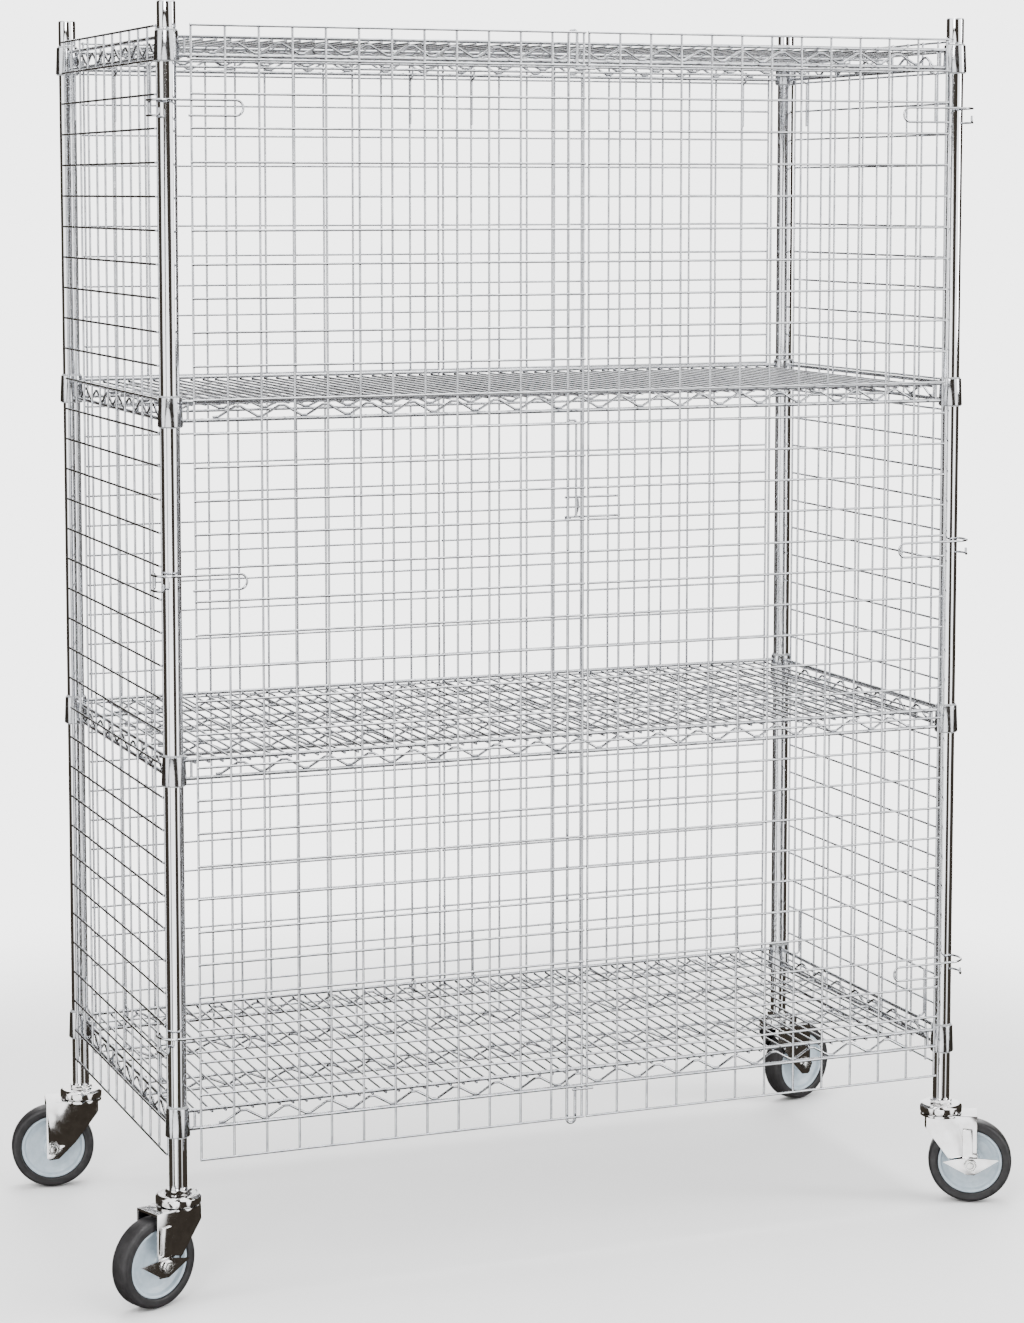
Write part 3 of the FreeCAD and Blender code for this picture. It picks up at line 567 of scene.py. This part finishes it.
# Three bent wire clips hang each door.  A clip is welded across the door's first two
# uprights as a long loop, and its free end is bent round the post as an open hook.
CLIP_H = 20.5 * MM
CLIP_R = 26.8 * MM
CLIP_BEND = 4.0 * MM
FIRST = 26.3 * MM
CLIP_OVERLAP = 5.0 * MM
CLIP_LOOP = 70.0 * MM
CLIP_WRAP = 130
CLIP_STOP = 48
CLIP_TAIL = 6.0 * MM
CLIP_TOPS = (1625.0 * MM, 996.0 * MM, 368.0 * MM)


def round_post(start, stop, z, steps=20):
    """Arc about the post, in degrees from straight in front towards the outside."""
    line = []
    for step in range(steps + 1):
        turn = math.radians(start + (stop - start) * step / steps)
        line.append(Vector((-CLIP_R * math.sin(turn), -CLIP_R * math.cos(turn), z)))
    return line


def hinge_clip(top):
    """One clip about a left post's axis."""
    low = top - CLIP_H
    half = CLIP_H / 2
    far = FIRST + CLIP_LOOP - half
    line = [Vector((FIRST - CLIP_OVERLAP, -CLIP_R, low)), Vector((far, -CLIP_R, low))]
    for step in range(1, 17):
        turn = math.pi * step / 16
        line.append(Vector((far + half * math.sin(turn), -CLIP_R, low + half - half * math.cos(turn))))
    line += round_post(0, CLIP_WRAP, top)
    over = (line[-1] - line[-2]).normalized() * CLIP_BEND
    drop = Vector((0, 0, CLIP_BEND))
    a = line[-1]
    b = Vector((a.x, a.y, low))
    line += arc(a - drop, a, a + over - drop)
    line += [b + over + drop]
    line += arc(b + drop, b + over + drop, b)
    line += round_post(CLIP_WRAP, CLIP_STOP, low)[1:]
    homeward = (line[-1] - line[-2]).normalized() * CLIP_BEND
    line += arc(line[-1] + drop, line[-1], line[-1] + homeward + drop)
    line.append(line[-1] + Vector((0, 0, CLIP_TAIL)))
    return drawn(line, MESH_R)


for door, side in (("left", -1), ("right", 1)):
    clips = Work()
    for top in CLIP_TOPS:
        mirror = Matrix.Scale(-side, 4, (1, 0, 0))
        clips.add(hinge_clip(top), at(side * half_length, -half_depth, 0) @ mirror)
    clips.piece("bent_clips_" + door, wire_chrome.material, door + "_door", "wire_chrome",
                [door + "_hinge_clips"])


# ---------------------------------------------------------------- latch
# A long round bar turns in four eyes on the left door's inner face.  Its ends are bent back
# into hairpins, and a forked wire handle at its middle reaches behind the right door.

BAR_R = 2.0 * MM
bar_low, bar_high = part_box("latch_bar")
bar_x = bar_low.x + BAR_R
bar_y = (bar_low.y + bar_high.y) / 2
back_x = bar_high.x - BAR_R
bend = (back_x - bar_x) / 2
high_z = bar_high.z - BAR_R - bend
low_z = bar_low.z + BAR_R + bend
LEG = 49.0 * MM


def hairpin(x0, x1, y, z, way, steps=14):
    """Half circle from x0 to x1, bulging up where way is 1."""
    middle = (x0 + x1) / 2
    r = (x0 - x1) / 2
    turns = [math.pi * step / steps for step in range(steps + 1)]
    return [Vector((middle + r * math.cos(t), y, z + way * abs(r) * math.sin(t))) for t in turns]


bar_line = [Vector((back_x, bar_y, high_z - LEG))]
bar_line += hairpin(back_x, bar_x, bar_y, high_z, 1)
bar_line += hairpin(bar_x, back_x, bar_y, low_z, -1)
bar_line.append(Vector((back_x, bar_y, low_z + LEG)))
bar = Work()
bar.add(drawn(bar_line, BAR_R, 16))
bar.piece("turning_bar", wire_chrome.material, "latch", "wire_chrome", ["latch_bar"])

# The handle is two prongs across the bar, a grip wire welded in front of their ends and a
# bowed wire welded behind them.
PRONG_GAP = 27.5 * MM
GRIP_OUT = 12.5 * MM
GRIP_BEND = 4.0 * MM
BOW_TOP = 16
BOW_MIDDLE = 18
BOW_FOOT = 13
handle_low, handle_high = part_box("latch_handle")
prong_y = bar_y + BAR_R + MESH_R
front_y = prong_y - 2 * MESH_R + BITE
behind_y = prong_y + 2 * MESH_R - BITE
prong_low = handle_low.z + MESH_R
prong_high = prong_low + PRONG_GAP
grip_top = handle_high.z - MESH_R
grip_x = bar_x + GRIP_OUT
handle = Work()
for z in (prong_low, prong_high):
    handle.add(straight((handle_low.x, prong_y, z), (handle_high.x, prong_y, z), MESH_R))
grip_line = [Vector((bar_x + BAR_R, front_y, grip_top))]
for step in range(9):
    turn = math.pi / 2 * step / 8
    away = GRIP_BEND * (1 - math.sin(turn))
    drop = GRIP_BEND * (1 - math.cos(turn))
    grip_line.append(Vector((grip_x - away, front_y, grip_top - drop)))
grip_line.append(Vector((grip_x, front_y, prong_low - MESH_R)))
handle.add(drawn(grip_line, MESH_R, 14))
bow_line = []
for step in range(13):
    down = step / 12
    out = BOW_TOP * (1 - down) * (1 - 2 * down) + 4 * BOW_MIDDLE * down * (1 - down)
    out += BOW_FOOT * down * (2 * down - 1)
    z = prong_high + MESH_R - down * (prong_high - prong_low + 2 * MESH_R)
    bow_line.append(Vector((bar_x + out * MM, behind_y, z)))
handle.add(drawn(bow_line, MESH_R, 14))
handle.piece("forked_handle", wire_chrome.material, "latch", "wire_chrome", ["latch_handle"])


def softened(node, name, finish, width, body):
    """A node's own shape with its edges broken by a small radius, as pressing leaves them."""
    mesh = frame["nodes"][node].data.copy()
    shape = bmesh.new()
    shape.from_mesh(mesh)
    bmesh.ops.remove_doubles(shape, verts=shape.verts, dist=1e-6)
    bmesh.ops.dissolve_limit(shape, angle_limit=math.radians(1), verts=shape.verts, edges=shape.edges)
    sharp = [e for e in shape.edges if len(e.link_faces) == 2 and e.calc_face_angle(0) > math.radians(32)]
    bmesh.ops.bevel(shape, geom=sharp, offset=width, offset_type="OFFSET", segments=2, profile=0.6,
                    affect="EDGES", clamp_overlap=True)
    shape.to_mesh(mesh)
    shape.free()
    mesh.materials.clear()
    mesh.materials.append(finish)
    mesh.shade_smooth()
    mesh.set_sharp_from_angle(angle=math.radians(32))
    return hang(mesh, name, body, [node])


softened("latch_guides", "bar_eyes", wire_chrome.material, 0.3 * MM, "left_door")

# A short jogged wire at the top and bottom of the left door laps over the right one.
JOG = 5.0 * MM
finger_low, finger_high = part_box("door_stop_fingers")
fingers = Work()
for z in (finger_low.z + MESH_R, finger_high.z - MESH_R):
    near_y = finger_high.y - MESH_R
    far_y = finger_low.y + MESH_R
    x = -HALF_GAP
    line = [Vector((finger_low.x, near_y, z)), Vector((x, near_y, z)), Vector((x + JOG, far_y, z)),
            Vector((finger_high.x, far_y, z))]
    fingers.add(drawn(eased(line, 6 * MM), MESH_R))
fingers.piece("lapping_fingers", wire_chrome.material, "left_door", "wire_chrome", ["door_stop_fingers"])


# ---------------------------------------------------------------- casters
# Swivel stem casters: a turned stem is pushed up the post, its race cup covers the balls,
# and a pressed, plated fork with a round crown carries the wheel behind the post's axis.

caster_plate = Finish("bright_pressed_steel", Metallic=1.0)
caster_plate.colours(caster_plate.noise(60), [(0.3, (0.58, 0.57, 0.56)), (0.7, (0.78, 0.78, 0.79))])
caster_plate.roughness(caster_plate.noise(90), 0.05, 0.14)
caster_plate.bumps((caster_plate.noise(38, detail=1), 0.0003), (caster_plate.noise(900), 0.000004))

ball_steel = Finish("polished_ball_steel", Metallic=1.0)
ball_steel.colours(ball_steel.noise(400), [(0.3, (0.52, 0.52, 0.53)), (0.7, (0.64, 0.64, 0.65))])
ball_steel.roughness(ball_steel.noise(600), 0.06, 0.14)

bolt_steel = Finish("zinc_plated_bolt", Metallic=1.0)
bolt_steel.colours(bolt_steel.noise(300), [(0.3, (0.55, 0.55, 0.54)), (0.7, (0.70, 0.70, 0.68))])
bolt_steel.roughness(bolt_steel.noise(500), 0.16, 0.32)
bolt_steel.bumps((bolt_steel.noise(1200), 0.00001))

# The wheel centre is moulded in pale grey-blue plastic, dished on both sides.
hub_plastic = Finish("moulded_wheel_centre", Specular_IOR_Level=0.5, Coat_Weight=0.12, Coat_Roughness=0.25)
hub_plastic.colours(hub_plastic.noise(120), [
    (0.3, (0.36, 0.44, 0.50)), (0.55, (0.42, 0.50, 0.56)), (0.8, (0.48, 0.55, 0.60))])
hub_plastic.roughness(hub_plastic.noise(260), 0.26, 0.42)
hub_plastic.bumps((hub_plastic.noise(90, detail=2), 0.00008), (hub_plastic.noise(2200), 0.000008))

# The tyre is solid dark grey rubber, scuffed in soft patches.
tyre_rubber = Finish("scuffed_grey_rubber", Specular_IOR_Level=0.3)
tyre_rubber.colours(tyre_rubber.noise(70), [
    (0.3, (0.012, 0.0115, 0.012)), (0.6, (0.020, 0.019, 0.020)), (0.85, (0.040, 0.038, 0.040))])
tyre_rubber.roughness(tyre_rubber.noise(150), 0.34, 0.55)
tyre_rubber.bumps((tyre_rubber.noise(500), 0.00006), (tyre_rubber.noise(3000), 0.00002))

# The sections are in millimetres: the stem's from the floor up, about the post, and the
# wheel's about the axle.
NUT_ACROSS = 32.0 * MM
NUT_H = 6.0 * MM
NUT_BORE = 11.4 * MM
NUT_Z = 149.0 * MM
STEM_SECTION = [
    (0, 126.7), (7, 126.7), (9, 128.7), (9, 130.7), (6, 130.7), (6, 141.7), (17, 141.7), (17, 140.7),
    (29.5, 140.7), (29.5, 136.5), (31.5, 136.5), (31.5, 145.4), (28.2, 148.6), (21, 149), (11.45, 149),
    (11.45, 193), (9.45, 195), (0, 195)]
HUB_SECTION = [
    (7.56, -18.5), (12.6, -18.5), (14, -16.8), (15, -7), (20, -4.2), (34, -4.6), (41.5, -7.5), (43.5, -12.4),
    (45, -13), (47.5, -13), (47.5, 13), (45, 13), (43.5, 12.4), (41.5, 7.5), (34, 4.6), (20, 4.2), (15, 7),
    (14, 16.8), (12.6, 18.5), (7.56, 18.5)]
TYRE_SECTION = [
    (47.5, -14), (49.3, -15.7), (52, -16), (57.2, -15.9), (59.8, -14.3), (61.3, -10.5), (61.8, -5), (61.9, 0),
    (61.8, 5), (61.3, 10.5), (59.8, 14.3), (57.2, 15.9), (52, 16), (49.3, 15.7), (47.5, 14)]


def in_metres(section):
    return [(r * MM, z * MM) for r, z in section]


def nut(across, height, bore=0.0):
    """Six-sided nut with chamfered corners, from Z = 0."""
    chamfer = 0.08 * across
    points, faces = [], []
    r = across / 2 / math.cos(math.pi / 6)
    rings = [(bore, 0), (r - chamfer, 0), (r, 0.5 * chamfer), (r, height - 0.5 * chamfer),
             (r - chamfer, height), (bore, height)]
    for ring, z in rings:
        for side in range(24):
            turn = 2 * math.pi * side / 24
            flat = math.cos(math.pi / 6) / math.cos((turn + math.pi / 6) % (math.pi / 3) - math.pi / 6)
            reach = ring if ring < across / 2 else min(ring, r * flat)
            points.append(Vector((reach * math.cos(turn), reach * math.sin(turn), z)))
    for a in range(len(rings)):
        b = (a + 1) % len(rings)
        for side in range(24):
            after = (side + 1) % 24
            faces.append([a * 24 + side, a * 24 + after, b * 24 + after, b * 24 + side])
    return points, faces


for corner, post in posts.items():
    axle = Vector(joints["wheel_spin_" + corner]["pos_m"])
    trail = (axle - post)
    trail.z = 0
    turn = Matrix.Rotation(math.atan2(trail.y, trail.x), 4, "Z")
    here = at(post.x, post.y, 0) @ turn
    on_axle = at(*axle) @ turn @ Matrix.Rotation(-math.pi / 2, 4, "X")
    fork_body = "swivel_" + corner
    wheel_body = "wheel_" + corner

    stem = Work()
    stem.add(turned(in_metres(STEM_SECTION), 0.9 * MM, 96), here)
    stem.add(nut(NUT_ACROSS, NUT_H, NUT_BORE), here @ at(0, 0, NUT_Z))
    stem.piece("turned_stem_" + corner, caster_plate.material, "frame", "caster_plate",
               ["caster_stem_" + corner])

    softened("fork_" + corner, "pressed_fork_" + corner, caster_plate.material,
             0.7 * MM, fork_body)
    softened("axle_bolt_" + corner, "axle_bolt_and_nut_" + corner, bolt_steel.material,
             0.4 * MM, fork_body)
    for node, finish in (("swivel_balls_", ball_steel), ("axle_sleeve_", bolt_steel)):
        mesh = frame["nodes"][node + corner].data
        mesh.materials.clear()
        mesh.materials.append(finish.material)

    centre = Work()
    centre.add(turned(in_metres(HUB_SECTION), 2.2 * MM, 96, 5), on_axle)
    centre.piece("wheel_centre_" + corner, hub_plastic.material, wheel_body, "hub_plastic", ["hub_" + corner])
    tread = Work()
    tread.add(turned(in_metres(TYRE_SECTION), 2.5 * MM, 120, 3), on_axle)
    tread.piece("rubber_tyre_" + corner, tyre_rubber.material, wheel_body, "tyre_rubber", ["tyre_" + corner])

    # The front casters have a brake: a strap on the fork's outer side and a kite-shaped
    # foot pedal of plate that turns about the axle under the nut.
    if "brake_" + corner in joints:
        softened("brake_bracket_" + corner, "brake_strap_" + corner, caster_plate.material,
                 0.8 * MM, fork_body)
        softened("brake_pedal_" + corner, "foot_pedal_" + corner, caster_plate.material,
                 0.6 * MM, "pedal_" + corner)


# ---------------------------------------------------------------- studio
# A plain pale paper floor runs out into a white surround.  Large soft lights stand about it,
# and the camera looks at the left front corner from a little above.

def sheet(name, width, depth, place, tilt, finish):
    """Flat plate of the studio."""
    x = width / 2
    y = depth / 2
    mesh = bpy.data.meshes.new(name)
    mesh.from_pydata([(-x, -y, 0), (x, -y, 0), (x, y, 0), (-x, y, 0)], [], [(0, 1, 2, 3)])
    mesh.materials.append(finish)
    plate = bpy.data.objects.new(name, mesh)
    plate.location = place
    plate.rotation_euler = tilt
    bpy.context.scene.collection.objects.link(plate)
    return plate


floor_finish = Finish("pale_studio_floor", Roughness=0.8)
floor_finish.colours(floor_finish.noise(0.7), [(0.3, (0.88, 0.88, 0.88)), (0.7, (0.92, 0.92, 0.92))])
# The floor fades out into the white surround, as a paper sweep does.
reach = floor_finish.node("ShaderNodeVectorMath", operation="LENGTH")
fade = floor_finish.node("ShaderNodeMapRange", interpolation_type="SMOOTHSTEP")
for socket, value in zip(("From Min", "From Max", "To Min", "To Max"), (1.1, 2.1, 1.0, 0.0)):
    fade.inputs[socket].default_value = value
floor_finish.link(floor_finish.places.outputs["Object"], reach.inputs[0])
floor_finish.link(reach.outputs["Value"], fade.inputs["Value"])
floor_finish.link(fade.outputs["Result"], floor_finish.shader.inputs["Alpha"])
studio_floor = sheet("studio_floor", 4.4, 4.4, (0, 0, -0.0005), (0, 0, 0), floor_finish.material)
studio_floor.visible_glossy = False

# The surround is white to the eye; what the plating mirrors is a softbox studio, with
# bright panels between dark gaps, which gives chrome its black and white edges.
world = bpy.data.worlds.new("pale_studio")
bpy.context.scene.world = world
world.use_nodes = True
tree = world.node_tree
tree.nodes.clear()


def studio_node(kind, operation=None, **values):
    node = tree.nodes.new(kind)
    if operation:
        node.operation = operation
    for name, value in values.items():
        node.inputs[name].default_value = value
    return node


WHITE = 4.2
PANELS = 3.4
PANEL_COUNT = 3.0
PANEL_TURN = -1.9
OVERHEAD = 0.8
PANEL_EDGE = (0.5, 0.72)
CARD_TOWARDS = (-0.547, -0.781, -0.3)
CARD_EDGE = (0.89, 0.93)
places = studio_node("ShaderNodeTexCoord")
split = studio_node("ShaderNodeSeparateXYZ")
around = studio_node("ShaderNodeMath", "ARCTAN2")
turns = studio_node("ShaderNodeMath", "MULTIPLY_ADD")
turns.inputs[1].default_value = PANEL_COUNT
turns.inputs[2].default_value = PANEL_TURN
wave = studio_node("ShaderNodeMath", "SINE")
overhead = studio_node("ShaderNodeMath", "MULTIPLY_ADD")
overhead.inputs[1].default_value = OVERHEAD
panels = tree.nodes.new("ShaderNodeValToRGB")
panels.color_ramp.elements[0].position = PANEL_EDGE[0]
panels.color_ramp.elements[0].color = (0.018, 0.015, 0.012, 1)
panels.color_ramp.elements[1].position = PANEL_EDGE[1]
panels.color_ramp.elements[1].color = (1, 1, 1, 1)
# One low white card stands in front, to the left, and lights the lower plating.
toward_card = studio_node("ShaderNodeVectorMath", "DOT_PRODUCT")
toward_card.inputs[1].default_value = CARD_TOWARDS
card = studio_node("ShaderNodeMapRange")
for socket, value in zip(("From Min", "From Max", "To Min", "To Max"), (*CARD_EDGE, 0.0, 2.0)):
    card.inputs[socket].default_value = value
lit = studio_node("ShaderNodeMath", "ADD")
seen = studio_node("ShaderNodeLightPath")
mix = studio_node("ShaderNodeMixShader")
mirrored = studio_node("ShaderNodeBackground", Strength=PANELS)
plain = studio_node("ShaderNodeBackground", Strength=WHITE)
plain.inputs["Color"].default_value = (1, 1, 1, 1)
out = studio_node("ShaderNodeOutputWorld")
for source, target in (
    (places.outputs["Generated"], split.inputs["Vector"]),
    (split.outputs["Y"], around.inputs[0]),
    (split.outputs["X"], around.inputs[1]),
    (around.outputs["Value"], turns.inputs[0]),
    (turns.outputs["Value"], wave.inputs[0]),
    (split.outputs["Z"], overhead.inputs[0]),
    (wave.outputs["Value"], overhead.inputs[2]),
    (places.outputs["Generated"], toward_card.inputs[0]),
    (toward_card.outputs["Value"], card.inputs["Value"]),
    (overhead.outputs["Value"], lit.inputs[0]),
    (card.outputs["Result"], lit.inputs[1]),
    (lit.outputs["Value"], panels.inputs["Fac"]),
    (panels.outputs["Color"], mirrored.inputs["Color"]),
    (seen.outputs["Is Camera Ray"], mix.inputs["Fac"]),
    (mirrored.outputs["Background"], mix.inputs[1]),
    (plain.outputs["Background"], mix.inputs[2]),
    (mix.outputs["Shader"], out.inputs["Surface"]),
):
    tree.links.new(source, target)


def soft_light(name, place, size, power, aim=(0, 0, 0.8)):
    lamp = bpy.data.lights.new(name, "AREA")
    lamp.shape = "RECTANGLE"
    lamp.size, lamp.size_y = size
    lamp.energy = power
    holder = bpy.data.objects.new(name, lamp)
    holder.location = place
    holder.rotation_euler = (Vector(aim) - Vector(place)).to_track_quat("-Z", "Y").to_euler()
    bpy.context.scene.collection.objects.link(holder)


soft_light("key_light", (-2.6, -3.6, 3.6), (1.6, 2.4), 200)
soft_light("fill_light", (3.8, -2.2, 2.4), (1.2, 2.6), 110)
soft_light("top_light", (0, 0.4, 4.4), (3.0, 2.2), 200)

camera = bpy.data.cameras.new("camera")
camera.lens = 86.5
camera.sensor_width = 36.0
camera.shift_y = -0.12
viewer = bpy.data.objects.new("camera", camera)
yaw = math.radians(21.53)
pitch = math.radians(5.59)
viewer.location = (-1.714, -4.363, 1.505)
viewer.rotation_euler = (math.pi / 2 - pitch, 0, -yaw)
bpy.context.scene.collection.objects.link(viewer)
bpy.context.scene.camera = viewer
